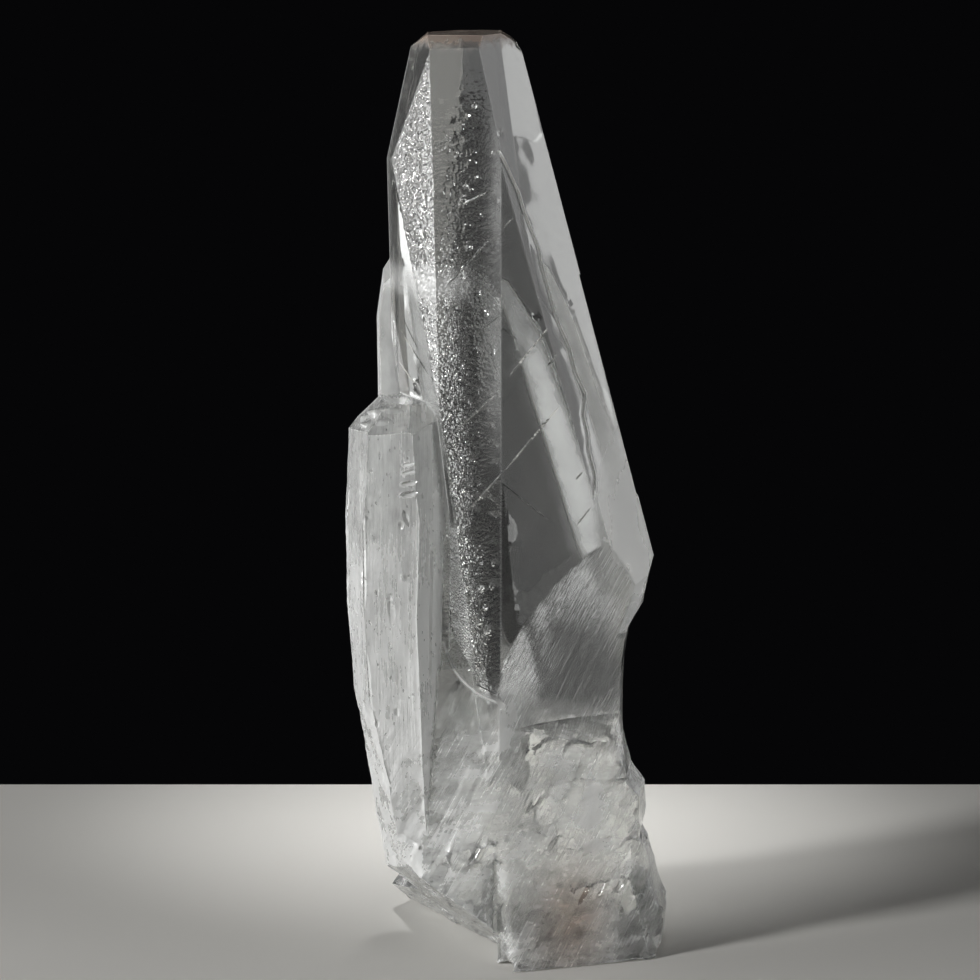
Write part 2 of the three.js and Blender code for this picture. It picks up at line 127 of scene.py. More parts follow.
# The skin: spacing of its points in mm, finest where the etching is finest, the angles in degrees and
# areas in mm2 that decide which edges stay, and how often it is smoothed
skin = {
    "mergeWithin": 1e-7,
    "sameFaceWithin": 0.35,
    "sliverBelow": 0.004,
    "flatBelow": 1e-6,
    "etched": 0.115,
    "strip": 0.12,
    "lower": 0.27,
    "side": 0.30,
    "front": 0.5,
    "plain": 0.8,
    "keepEdgesOver": 14.0,
    "keepAnyEdgeOver": 40.0,
    "largeFace": 2.5,
    "lowBelow": 25.0,
    "largeLowFace": 40.0,
    "shoulder": 0.2,
    "shoulderOver": 0.3,
    "shoulderClear": 0.8,
    "gridClear": 0.62,
    "rowSpacing": 0.866,
    "unevenness": 0.16,
    "levelWithin": 0.05,
    "frontNormal": -0.2,
    "lowBehind": 2,
    "smoothing": 10,
    "lowSmoothing": 60,
    "facetSpread": 3,
    "testedAtOnce": 6_000_000,
    "seed": 4,
}


def alongFace(planes, name, within):
    # which regions lie along one of the crystal's faces
    face = crystal[name]
    return planes @ facing(face["azimuth"], face["tilt"]) > math.cos(math.radians(turnedWithin[within]))


def chipsInEtched(area, x, y, z):
    # small facets follow the large face that they are cut in, found by place
    hollow = zones["hollow"]
    return ((area < skin["largeFace"]) & (abs(x) < hollow["across"]) & (y < hollow["front"])
            & (z > hollow["above"]))


def looseSolid(node):
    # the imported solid's corners in mm and its triangles, with doubled corners joined
    work = bmesh.new()
    work.from_mesh(node.data)
    bmesh.ops.remove_doubles(work, verts=work.verts, dist=skin["mergeWithin"])
    work.verts.index_update()
    corners = np.array([v.co for v in work.verts]) / mm
    triangles = np.array([[v.index for v in f.verts] for f in work.faces])
    work.free()
    return corners, triangles


def halfEdges(triangles):
    # every triangle's three edges in its own turning sense: start, end, triangle
    starts = triangles.ravel()
    ends = triangles[:, [1, 2, 0]].ravel()
    return starts, ends, np.repeat(np.arange(len(triangles)), 3)


def flatRegions(corners, triangles):
    # joins triangles that lie in one flat face; returns each triangle's region and the regions' planes
    a, b, c = (corners[triangles[:, k]] for k in range(3))
    cross = np.cross(b - a, c - a)
    doubled = np.linalg.norm(cross, axis=1)
    normals = cross / doubled[:, None]
    sides = np.stack([np.linalg.norm(b - a, axis=1), np.linalg.norm(c - b, axis=1),
                      np.linalg.norm(a - c, axis=1)], axis=1)
    sliver = doubled / sides.max(1) < skin["sliverBelow"]
    parent = list(range(len(triangles)))

    def root(i):
        while parent[i] != i:
            parent[i] = parent[parent[i]]
            i = parent[i]
        return i

    starts, ends, owners = halfEdges(triangles)
    other = {(s, e): k for k, (s, e) in enumerate(zip(starts, ends))}
    flat = math.cos(math.radians(skin["sameFaceWithin"]))
    for k, (s, e) in enumerate(zip(starts, ends)):
        mate = other[(e, s)]
        one, two = owners[k], owners[mate]
        if sliver[one] and sides[one].argmax() == k % 3:
            parent[root(one)] = root(two)
        elif not sliver[one] and not sliver[two] and normals[one] @ normals[two] > flat:
            parent[root(one)] = root(two)
    roots = np.array([root(i) for i in range(len(triangles))])
    names, region = np.unique(roots, return_inverse=True)
    weighted = np.zeros((len(names), 3))
    area = np.zeros(len(names))
    centre = np.zeros((len(names), 3))
    np.add.at(weighted, region, cross)
    np.add.at(area, region, doubled / 2)
    np.add.at(centre, region, (a + b + c) / 3 * doubled[:, None] / 2)
    planes = weighted / np.linalg.norm(weighted, axis=1)[:, None]
    return region, planes, area, centre / area[:, None], other


def insideOutline(points, starts, ends):
    # even-odd test of many points against closed outlines given as loose edges
    result = np.zeros(len(points), bool)
    parts = max(1, len(points) * len(starts) // skin["testedAtOnce"] + 1)
    rise = ends[:, 1] - starts[:, 1]
    rise = np.where(rise == 0, 1e-12, rise)
    for chunk in np.array_split(np.arange(len(points)), parts):
        x, y = points[chunk, 0, None], points[chunk, 1, None]
        crosses = (starts[:, 1] <= y) != (ends[:, 1] <= y)
        at = starts[:, 0] + (y - starts[:, 1]) * (ends[:, 0] - starts[:, 0]) / rise
        result[chunk] = (crosses & (at > x)).sum(1) % 2 == 1
    return result


def axisOfCrystal(planes, area, centre):
    # two faces at known distances from the axis fix where it stands
    rows, reaches = [], []
    for name in ("etched", "grey"):
        face = crystal[name]
        match = np.where(alongFace(planes, name, "axis") & (centre[:, 2] > zones["facesAbove"]), area, 0)
        spot = centre[match.argmax()]
        lean = math.tan(math.radians(face["tilt"])) * (spot[2] - crystal["level"])
        level = facing(face["azimuth"])
        rows.append(level[:2])
        reaches.append(level[:2] @ spot[:2] + lean - face["reach"])
    return np.linalg.solve(np.array(rows), np.array(reaches))


def spacingOf(planes, area, centre, axis):
    # how far apart the skin's points stand on each face
    x, y = centre[:, 0] - axis[0], centre[:, 1] - axis[1]
    z = centre[:, 2]
    toFront = planes[:, 1] < skin["frontNormal"]
    side = zones["side"]
    spacing = np.full(len(area), skin["plain"])
    spacing[toFront] = skin["front"]
    spacing[toFront & (z < zones["lowerBelow"])] = skin["lower"]
    spacing[toFront & (x < side["leftOf"]) & (z < side["below"])] = skin["side"]
    spacing[alongFace(planes, "etched", "spacing") & (z > zones["etchedAbove"])] = skin["etched"]
    spacing[alongFace(planes, "strip", "spacing") & (z > zones["facesAbove"])] = skin["strip"]
    spacing[chipsInEtched(area, x, y, z)] = skin["etched"]
    return spacing


def refine(corners, triangles):
    # fills each flat face with evenly spaced points and joins them in triangles; the outline stays
    region, planes, area, centre, other = flatRegions(corners, triangles)
    axis = axisOfCrystal(planes, area, centre)
    spacing = spacingOf(planes, area, centre, axis)
    starts, ends, owners = halfEdges(triangles)
    grey = alongFace(planes, "grey", "spacing")
    places = [p for p in corners]
    chains, kept, sharp, crest = {}, set(), set(), set()
    borders = {}
    for k, (s, e) in enumerate(zip(starts, ends)):
        mate = other[(e, s)]
        one, two = region[owners[k]], region[owners[mate]]
        if one == two:
            continue
        if s < e:
            length = np.linalg.norm(corners[e] - corners[s])
            steps = max(1, round(length / min(spacing[one], spacing[two])))
            chain = [s]
            for step in range(1, steps):
                chain.append(len(places))
                places.append(corners[s] + (corners[e] - corners[s]) * step / steps)
            chains[(s, e)] = chain + [e]
            bend = math.degrees(math.acos(np.clip(planes[one] @ planes[two], -1, 1)))
            toFront = planes[one][1] < skin["frontNormal"]
            low = max(centre[one][2], centre[two][2]) < skin["lowBelow"] and toFront
            large = min(area[one], area[two]) > skin["largeLowFace" if low else "largeFace"]
            steep = bend > skin["keepAnyEdgeOver"] and not low
            if bend > skin["keepEdgesOver"] and (large or grey[one] or grey[two]):
                crest.update(chains[(s, e)])
            if steep or (large and bend > skin["keepEdgesOver"]):
                kept.update(chains[(s, e)])
                chain = chains[(s, e)]
                sharp.update((min(p, q), max(p, q)) for p, q in zip(chain, chain[1:]))
        borders.setdefault(one, []).append((s, e))
    rng = np.random.default_rng(skin["seed"])
    faces, faceRegion = [], []
    for name, border in borders.items():
        normal = planes[name]
        across = np.cross([0, 0, 1], normal)
        if np.linalg.norm(across) < skin["levelWithin"]:
            across = np.cross([0, 1, 0], normal)
        across /= np.linalg.norm(across)
        up = np.cross(normal, across)
        base = corners[border[0][0]]
        flat = np.array([across, up])
        outlineStart = (corners[[s for s, e in border]] - base) @ flat.T
        outlineEnd = (corners[[e for s, e in border]] - base) @ flat.T
        local, index, edges = [], {}, []

        def localOf(vertex):
            if vertex not in index:
                index[vertex] = len(local)
                local.append(vertex)
            return index[vertex]

        for s, e in border:
            chain = chains[(s, e)] if s < e else chains[(e, s)][::-1]
            edges.extend((localOf(p), localOf(q)) for p, q in zip(chain, chain[1:]))
        rim = (np.array([places[v] for v in local]) - base) @ flat.T
        onCrest = [edge for edge in edges if local[edge[0]] in crest and local[edge[1]] in crest]
        shoulders = shouldersOf(rim, onCrest)
        if len(shoulders):
            shoulders = shoulders[insideOutline(shoulders, outlineStart, outlineEnd)]
            shoulders = clearOf(shoulders, rim, skin["shoulderClear"] * skin["shoulder"])
        rimmed = np.vstack([rim, shoulders])
        grid = hexGrid(rim.min(0), rim.max(0), spacing[name], rng)
        if len(grid):
            grid = grid[insideOutline(grid, outlineStart, outlineEnd)]
            grid = clearOf(grid, rimmed, skin["gridClear"] * spacing[name])
        points = np.vstack([rimmed, grid]) if len(grid) else rimmed
        made = geometry.delaunay_2d_cdt([Vector(p) for p in points], edges, [], 0, 0.0, True)
        ids, spots = [], []
        for spot, origins in zip(made[0], made[3]):
            source = min(origins) if origins else None
            spots.append(points[source] if origins else spot[:])
            if origins and source < len(local):
                ids.append(local[source])
                continue
            if origins and source < len(rimmed):
                kept.add(len(places))
            ids.append(len(places))
            places.append(base + spots[-1][0] * across + spots[-1][1] * up)
        spots = np.array(spots)
        triples = np.array(made[2][:])
        triples = triples[heightOf(spots[triples]) > skin["flatBelow"]]
        middles = spots[triples].mean(1)
        for triple in triples[insideOutline(middles, outlineStart, outlineEnd)]:
            faces.append([ids[v] for v in triple])
            faceRegion.append(name)
    return {
        "places": np.array(places), "faces": np.array(faces), "region": np.array(faceRegion),
        "planes": planes, "area": area, "centre": centre, "kept": kept, "sharp": sharp, "crest": crest,
        "axis": axis,
    }


def shouldersOf(rim, edges):
    # points just inside the kept edges, so that what marks an edge stays a thin line
    if not edges:
        return np.zeros((0, 2))
    start, end = rim[[a for a, b in edges]], rim[[b for a, b in edges]]
    along = end - start
    length = np.linalg.norm(along, axis=1, keepdims=True)
    inward = np.stack([-along[:, 1], along[:, 0]], axis=1) / np.maximum(length, 1e-9)
    middle = (start + end) / 2 + inward * skin["shoulder"]
    return np.vstack([start + inward * skin["shoulder"], middle[length[:, 0] > skin["shoulderOver"]]])


def heightOf(triangles):
    # the smallest height of each flat triangle
    a, b, c = (triangles[:, k] for k in range(3))
    doubled = np.abs((b - a)[:, 0] * (c - a)[:, 1] - (b - a)[:, 1] * (c - a)[:, 0])
    return doubled / np.stack([np.linalg.norm(p - q, axis=1) for p, q in ((a, b), (b, c), (c, a))]).max(0)


def hexGrid(low, high, step, rng):
    # points in staggered rows, each a little off its place
    rows = np.arange(low[1] + step / 2, high[1], step * skin["rowSpacing"])
    columns = np.arange(low[0] + step / 2, high[0], step)
    if not len(rows) or not len(columns):
        return np.zeros((0, 2))
    x, y = np.meshgrid(columns, rows)
    x = x + (np.arange(len(rows)) % 2)[:, None] * step / 2
    spots = np.stack([x.ravel(), y.ravel()], axis=1)
    uneven = skin["unevenness"]
    return spots + rng.uniform(-uneven, uneven, spots.shape) * step


def clearOf(points, rim, gap):
    # only the points that lie further than the gap from every rim point
    tree = kdtree.KDTree(len(rim))
    for k, spot in enumerate(rim):
        tree.insert((spot[0], spot[1], 0), k)
    tree.balance()
    far = [tree.find((p[0], p[1], 0))[2] > gap for p in points]
    return points[np.array(far, bool)] if len(points) else points


def relax(made, rounds, below=None):
    # evens the points out and rounds small or shallow edges; the kept edges stay where they are
    places, faces = made["places"], made["faces"]
    pairs = np.vstack([faces[:, [0, 1]], faces[:, [1, 2]], faces[:, [2, 0]]])
    free = np.ones(len(places), bool)
    free[list(made["kept"])] = False
    if below is not None:
        free &= (places[:, 2] < below) & (places[:, 1] < made["axis"][1] + skin["lowBehind"])
    count = np.zeros(len(places))
    np.add.at(count, pairs[:, 0], 1)
    count = np.maximum(count, 1)
    for _ in range(rounds):
        total = np.zeros_like(places)
        np.add.at(total, pairs[:, 0], places[pairs[:, 1]])
        moved = places + 0.5 * (total / count[:, None] - places)
        places = np.where(free[:, None], moved, places)
    made["places"] = places
    return made


solid = looseSolid(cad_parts["calcite_crystal"])
made = relax(refine(*solid), skin["smoothing"])
made = relax(made, skin["lowSmoothing"], below=skin["lowBelow"])
print("skin:", len(made["places"]), "points,", len(made["faces"]), "triangles")


# Every mark is a number from 0 to 1 on the points, and says how much the place has of that finish
def onPoints(made, regionValues):
    # a value for each region, shared out to the points as the mean of the triangles round them
    total = np.zeros(len(made["places"]))
    count = np.zeros(len(made["places"]))
    for k in range(3):
        np.add.at(total, made["faces"][:, k], regionValues[made["region"]])
        np.add.at(count, made["faces"][:, k], 1)
    return total / np.maximum(count, 1)


def touching(made, chosen):
    # 1 on every point of the chosen regions, their borders included
    value = np.zeros(len(made["places"]))
    value[made["faces"][chosen[made["region"]]]] = 1
    return value


def spreadOut(made, values, rounds):
    # softens a mark by passing it on to the neighbouring points, this many times
    pairs = np.vstack([made["faces"][:, [0, 1]], made["faces"][:, [1, 2]], made["faces"][:, [2, 0]]])
    count = np.maximum(np.bincount(pairs[:, 0], minlength=len(values)), 1)
    for _ in range(rounds):
        values = 0.5 * (values + np.bincount(pairs[:, 0], values[pairs[:, 1]], len(values)) / count)
    return values


def blob(across, up, at, size):
    # a soft round patch
    return np.exp(-((across - at[0]) / size[0]) ** 2 - ((up - at[1]) / size[1]) ** 2)


# Soft round patches: their middle and size in mm across and up, their strength, and how far back from
# the crystal's axis they reach
softPatches = {
    # the tip's frost is a painted highlight, a bright spot low on the crystal
    "tip": {"at": (2.0, 26.8), "size": (1.3, 2.8), "share": 1.2, "back": 0},
    "chip": {"at": (15.7, 40), "size": (1.3, 3.2), "share": 0.9, "back": 3},
    # the corner's frost is a painted reflection along the grey face's lower right edge
    "corner": {"at": (13.6, 47), "size": (2.6, 9), "share": 1.0, "back": 3},
    "rib": {"at": (-5.3, 38), "size": (0.35, 12), "share": 0.6, "back": -6},
    "white": {"at": (10.6, 14.5), "size": (1.6, 6), "share": 0.5, "back": 3},
    "shell": {"at": (10, 30.5), "size": (5, 5), "share": 0.9, "back": 0},
    "beige": {"at": (8.4, 5.0), "size": (3.6, 5.5), "share": 0.7, "back": 2},
    "hazeMiddle": {"at": (1.2, 63), "size": (3, 9), "share": 0.4, "back": 99},
    "hazeTop": {"at": (0.8, 81), "size": (1.2, 7), "share": 0.4, "back": 99},
}
# How cloudy each part of the specimen is
cloudiness = {
    "side": 0.62, "sideMiddle": 0.25, "sliver": 0.5, "low": 0.4, "strip": 0.25, "band": 0.45, "glassy": 0.8,
    "facet": 0.2, "facetEdge": 0.75,
}


def marksOf(made):
    planes, area, axis, share = made["planes"], made["area"], made["axis"], cloudiness
    x, y, z = (made["places"] - np.array([axis[0], axis[1], 0])).T
    midX, midY, midZ = (made["centre"] - np.array([axis[0], axis[1], 0])).T
    patch = {name: kind["share"] * blob(x, z, kind["at"], kind["size"]) * (y < kind["back"])
             for name, kind in softPatches.items()}

    # the large faces
    etchedFace = alongFace(planes, "etched", "marks") & (midZ > zones["etchedAbove"])
    onEtched = onPoints(made, (etchedFace | chipsInEtched(area, midX, midY, midZ)).astype(float))
    stripFace = alongFace(planes, "strip", "marks") & (midZ > zones["facesAbove"])
    onStrip = onPoints(made, stripFace.astype(float))
    tall = np.any([alongFace(planes, name, "left") for name in ("left", "leftUpper", "strip")], axis=0)
    facet = onPoints(made, alongFace(planes, "backFacet", "marks").astype(float))
    facet = spreadOut(made, facet, skin["facetSpread"])
    facet = share["facetEdge"] * (4 * facet * (1 - facet)) + share["facet"] * facet

    # the growth layer's edge on the grey face, and the stacked bars on the side crystal
    small = area < skin["largeFace"]
    toGrey = planes @ facing(crystal["grey"]["azimuth"], crystal["grey"]["tilt"])
    # full frost on the riser is a painted highlight: a bright line where the growth step catches light
    at = zones["riser"]
    riser = touching(made, small & (abs(toGrey) < at["offGrey"]) & (planes[:, 1] < at["toFront"])
                     & (midX > at["rightOf"]) & (midZ > at["above"]))
    # full frost on the bars paints highlight stripes on the side crystal's ledges
    at = zones["bars"]
    bars = touching(made, small & (midX < at["leftOf"]) & (midX > at["rightOf"]) & (midY < at["front"])
                    & (midZ > at["above"]) & (midZ < at["below"]) & (planes[:, 2] > at["level"]))

    # the side crystal, the sliver behind it, the shell-like break and the broken base
    limit, at = zones["side"], zones["sliver"]
    side = onPoints(made, ((midX < limit["markLeftOf"]) & (midZ < limit["markBelow"])
                           & (midY < limit["front"]) & ~tall).astype(float))
    sliver = onPoints(made, ((midX < at["leftOf"]) & (midZ > zones["lowerBelow"]) & (midY > limit["front"])
                             & ~tall).astype(float)) * fade(*at["left"], x)
    at = zones["shell"]
    shell = onPoints(made, ((planes @ facing(at["azimuth"], at["tilt"]) > at["along"]) & (area < at["area"])
                            & (midX > at["rightOf"]) & (midZ > at["above"])
                            & (midZ < at["below"])).astype(float))
    low = fade(*zones["low"], z)
    at = zones["glassy"]
    glassy = share["glassy"] * low * fade(*at["left"], x) * fade(*at["top"], z)

    # the etching thins out to the right and upwards, and a frosted level band crosses the left faces
    at = zones["etching"]
    toRight = fade(*at["right"], x + at["shift"] * fade(*at["shiftFrom"], z))
    thinned = onEtched * (1 - at["thinned"] * toRight)
    etchedTop = fade(*at["top"], z)
    at = zones["lowerLeft"]
    lowerLeft = (fade(*at["left"], x) * fade(*at["right"], x) * fade(*at["foot"], z) * fade(*at["top"], z)
                 * (y < at["front"]))
    etched = np.maximum(thinned, at["share"] * lowerLeft) * etchedTop
    haze = onEtched * toRight * (patch["hazeMiddle"] + patch["hazeTop"])
    at = zones["band"]
    band = fade(*at["foot"], z) * fade(*at["top"], z) * fade(*at["right"], x) * (y < at["back"])

    sideShare = share["side"] + share["sideMiddle"] * fade(*limit["middle"], z)
    # the sum also holds painted highlights: full frost on the riser and the bars, and the tip and corner
    # patches
    cloudyAndHighlit = (side * sideShare + sliver * share["sliver"]
              + low * share["low"] + onStrip * share["strip"] + band * share["band"] + haze + riser + bars
              + patch["tip"] + patch["chip"] + patch["corner"] + patch["rib"] + patch["white"] + facet
              - glassy)
    # crest points carry a thin frost line that is partly edge wear and partly a painted highlight
    crest = np.zeros(len(x))
    crest[list(made["crest"])] = 1
    return {
        "etched": np.clip(etched, 0, 1),
        "beaded": np.clip(onStrip, 0, 1),
        "fluted": side * fade(*limit["fluted"], z),
        "broken": np.clip(low, 0, 1),
        "shelly": np.clip(shell + patch["shell"], 0, 1),
        "cloudyAndHighlit": np.clip(cloudyAndHighlit, 0, 1),
        "crest": crest,
        "warm": np.clip(patch["beige"], 0, 1),
    }


def meshOf(name, made, marks):
    mesh = bpy.data.meshes.new(name)
    mesh.from_pydata((made["places"] * mm).tolist(), [], made["faces"].tolist())
    mesh.update()
    for mark, values in marks.items():
        attribute = mesh.attributes.new(mark, "FLOAT", "POINT")
        attribute.data.foreach_set("value", values.astype(np.float32))
    mesh.polygons.foreach_set("use_smooth", np.ones(len(mesh.polygons), bool))
    ends = np.zeros(len(mesh.edges) * 2, int)
    mesh.edges.foreach_get("vertices", ends)
    sharp = mesh.attributes.new("sharp_edge", "BOOLEAN", "EDGE")
    ends = np.sort(ends.reshape(-1, 2)).tolist()
    sharp.data.foreach_set("value", [(a, b) in made["sharp"] for a, b in ends])
    piece = bpy.data.objects.new(name, mesh)
    scene.collection.objects.link(piece)
    return piece


# Sizes in mm and turns in degrees of what the surface is covered with
relief = {
    "beadSize": 0.46,
    "beadDepth": 0.18,
    "gritSize": 0.3,
    "gritDepth": 0.11,
    "facetWidth": 1.5,
    "facetLength": 5.5,
    "facetDepth": 0.17,
    "facetSlope": 0.9,
    "cleavageTurn": 28.0,
    "streakWidth": 0.5,
    "streakLength": 6.0,
    "streakDepth": 0.05,
    "fluteWidth": 0.8,
    "fluteLength": 6.0,
    "fluteDepth": 0.09,
    "lumpSize": 2.2,
    "lumpDepth": 0.26,
    "waveSize": 5.0,
    "waveDepth": 0.05,
}


def reliefTree(settings):
    tree = bpy.data.node_groups.new("surfaceRelief", "GeometryNodeTree")
    for name, kind in (("Geometry", "NodeSocketGeometry"), ("Material", "NodeSocketMaterial"),
                       ("Lowest", "NodeSocketVector"), ("Highest", "NodeSocketVector")):
        tree.interface.new_socket(name, in_out="INPUT", socket_type=kind)
    for name in settings:
        tree.interface.new_socket(name, in_out="INPUT", socket_type="NodeSocketFloat")
    tree.interface.new_socket("Geometry", in_out="OUTPUT", socket_type="NodeSocketGeometry")
    given = addNode(tree, "NodeGroupInput").outputs
    position = addNode(tree, "GeometryNodeInputPosition").outputs[0]
    turn = addNode(tree, "ShaderNodeMath", {0: given["cleavageTurn"]}, operation="RADIANS").outputs[0]
    leaning = addNode(tree, "ShaderNodeVectorRotate", {"Vector": position, "Angle": turn},
                      rotation_type="Y_AXIS", invert=True).outputs[0]

    # coordinates in which a feature of each kind is one unit wide and one unit long
    grids = {}
    for name, start, width, length in (("bead", position, "beadSize", "beadSize"),
                                       ("grit", position, "gritSize", "gritSize"),
                                       ("facet", leaning, "facetWidth", "facetLength"),
                                       ("streak", leaning, "streakWidth", "streakLength"),
                                       ("flute", position, "fluteWidth", "fluteLength"),
                                       ("lump", position, "lumpSize", "lumpSize"),
                                       ("wave", position, "waveSize", "waveSize")):
        size = addNode(tree, "ShaderNodeCombineXYZ", {0: given[width], 1: given[length], 2: given[length]})
        grids[name] = addNode(tree, "ShaderNodeVectorMath", {0: start, 1: size.outputs[0]},
                              operation="DIVIDE").outputs[0]

    # rounded beads and finer grit left by etching: the further from a grain's middle, the deeper
    heights = {}
    for name in ("bead", "grit"):
        grains = addNode(tree, "ShaderNodeTexVoronoi", {"Vector": grids[name], "Scale": 1.0})
        heights[name] = addNode(tree, "ShaderNodeMath", {0: grains.outputs["Distance"], 1: 2.0},
                                operation="POWER").outputs[0]

    # flat cleavage facets, each at its own depth and slope
    cells = addNode(tree, "ShaderNodeTexVoronoi", {"Vector": grids["facet"], "Scale": 1.0})
    across = addNode(tree, "ShaderNodeVectorMath", {0: grids["facet"], 1: cells.outputs["Position"]},
                     operation="SUBTRACT")
    slope = addNode(tree, "ShaderNodeVectorMath", {0: cells.outputs["Color"], 1: (0.5, 0.5, 0.5)},
                    operation="SUBTRACT")
    steep = addNode(tree, "ShaderNodeVectorMath", {0: slope.outputs[0], "Scale": given["facetSlope"]},
                    operation="SCALE")
    lean = addNode(tree, "ShaderNodeVectorMath", {0: across.outputs[0], 1: steep.outputs[0]},
                   operation="DOT_PRODUCT")
    level = addNode(tree, "ShaderNodeSeparateXYZ", {0: cells.outputs["Color"]})
    heights["facet"] = addNode(tree, "ShaderNodeMath", {0: lean.outputs["Value"], 1: level.outputs[0]},
                               operation="ADD").outputs[0]

    for name, detail in (("streak", 3.0), ("flute", 3.0), ("lump", 2.0), ("wave", 1.0)):
        noise = addNode(tree, "ShaderNodeTexNoise", {"Vector": grids[name], "Scale": 1.0,
                                                     "Detail": detail, "Roughness": 0.6})
        heights[name] = noise.outputs["Fac"]

    # each kind of relief shows where its mark is
    depth = 0.0
    for name, mark in (("bead", "beaded"), ("grit", "etched"), ("facet", "broken"), ("streak", "broken"),
                       ("streak", "shelly"), ("flute", "fluted"), ("lump", "fluted"), ("wave", None)):
        deep = addNode(tree, "ShaderNodeMath", {0: heights[name], 1: given[name + "Depth"]},
                       operation="MULTIPLY").outputs[0]
        share = 1.0
        if mark:
            share = addNode(tree, "GeometryNodeInputNamedAttribute", {"Name": mark},
                            data_type="FLOAT").outputs["Attribute"]
        depth = addNode(tree, "ShaderNodeMath", {0: deep, 1: share, 2: depth},
                        operation="MULTIPLY_ADD").outputs[0]

    inward = addNode(tree, "ShaderNodeMath", {0: depth, 1: -1.0}, operation="MULTIPLY").outputs[0]
    normal = addNode(tree, "GeometryNodeInputNormal").outputs[0]
    offset = addNode(tree, "ShaderNodeVectorMath", {0: normal, "Scale": inward},
                     operation="SCALE").outputs[0]
    sunk = addNode(tree, "ShaderNodeVectorMath", {0: position, 1: offset}, operation="ADD").outputs[0]
    above = addNode(tree, "ShaderNodeVectorMath", {0: sunk, 1: given["Lowest"]},
                    operation="MAXIMUM").outputs[0]
    within = addNode(tree, "ShaderNodeVectorMath", {0: above, 1: given["Highest"]},
                     operation="MINIMUM").outputs[0]
    moved = addNode(tree, "GeometryNodeSetPosition", {"Geometry": given["Geometry"], "Position": within})
    real = addNode(tree, "GeometryNodeRealizeInstances", {0: moved.outputs[0]})
    finished = addNode(tree, "GeometryNodeSetMaterial", {"Geometry": real.outputs[0],
                                                         "Material": given["Material"]})
    addNode(tree, "NodeGroupOutput", {0: finished.outputs[0]})
    return tree


def applyRelief(piece, settings, material):
    tree = reliefTree(settings)
    modifier = piece.modifiers.new("relief", "NODES")
    modifier.node_group = tree
    bare = ("Turn", "Slope")
    values = {name: size * (1.0 if name.endswith(bare) else mm) for name, size in settings.items()}
    values.update({"Lowest": cadLow, "Highest": cadHigh, "Material": material})
    for item in tree.interface.items_tree:
        if item.in_out == "INPUT" and item.name in values:
            modifier[item.identifier] = values[item.name]
    piece.update_tag()
    bpy.context.view_layer.update()
    evaluated = piece.evaluated_get(bpy.context.evaluated_depsgraph_get())
    plain = bpy.data.meshes.new_from_object(evaluated)
    piece.modifiers.remove(modifier)
    old = piece.data
    piece.data = plain
    bpy.data.meshes.remove(old)
    return piece


# Colours, and sizes in mm, of the mineral's finish
finish = {
    "clear": "#F2F3F2",
    "stained": "#BF9E86",
    "inside": "#DDDFDA",
    "insideDensity": 12.0,
    "refraction": 1.6,
    "clearRoughness": 0.03,
    "clearOpacity": 0.04,
    "frostRoughness": 0.4,
    "frostOpacity": 0.72,
    "rimFrom": 94.3,
    "rimTo": 95.3,
    "rimRagged": 2.4,
    "rimFrost": 0.5,
    "rimStain": 0.7,
}
# Each pattern: width and length of its marks, the turn of their long side, and its octaves of detail
patterns = {
    "mottle": {"width": 2.4, "length": 5.0, "turn": 0, "detail": 6.0},
    "layer": {"width": 7.0, "length": 2.2, "turn": -4, "detail": 5.0},
    "scratch": {"width": 0.18, "length": 6.0, "turn": 28, "detail": 3.0},
    "fluting": {"width": 0.3, "length": 5.0, "turn": 0, "detail": 3.0},
    "grain": {"width": 0.16, "length": 0.16, "turn": 0, "detail": 3.0},
    "pit": {"width": 0.35, "length": 0.8, "turn": 0, "detail": 1.0},
    "ragged": {"width": 0.9, "length": 0.9, "turn": 0, "detail": 3.0},
}
# Where in its pattern a mark begins and where it is full, and how weak and strong the soft patches are
limits = {
    "patches": (0.3, 0.7), "inPatches": (0.38, 0.52), "scratches": (0.5, 0.66), "pits": (0.69, 0.74),
}
patchStrength = (0.6, 1.1)
# How much frost each pattern adds where its mark is, and by how many mm it lifts or sinks the surface
# the even frost on the crests is partly edge wear and partly a painted highlight
frostParts = (("patchyScratches", "broken", 0.28), ("scratches", "shelly", 0.38),
              ("uneven", "broken", 0.25), ("layers", "broken", 2.4), ("streaks", "fluted", 0.7),
              ("pits", "fluted", -0.25), ("even", "crest", 0.2))
reliefParts = (("bead", "beaded", -0.05), ("grit", "etched", -0.05), ("patchyScratches", "broken", -0.02),
               ("scratch", "shelly", -0.07), ("fluting", "fluted", -0.07), ("pits", "fluted", -0.06),
               ("grain", "cloudyAndHighlit", -0.012))

# The etched hollow ends below in a thin bright edge: part of a circle seen from the front
lensEdge = {
    "across": 2.9, "up": 35.9, "radius": 7.9, "width": 0.24, "top": 34.5, "right": 0.9, "front": -4.0,
    "fade": 0.6, "frost": 0.8,
}


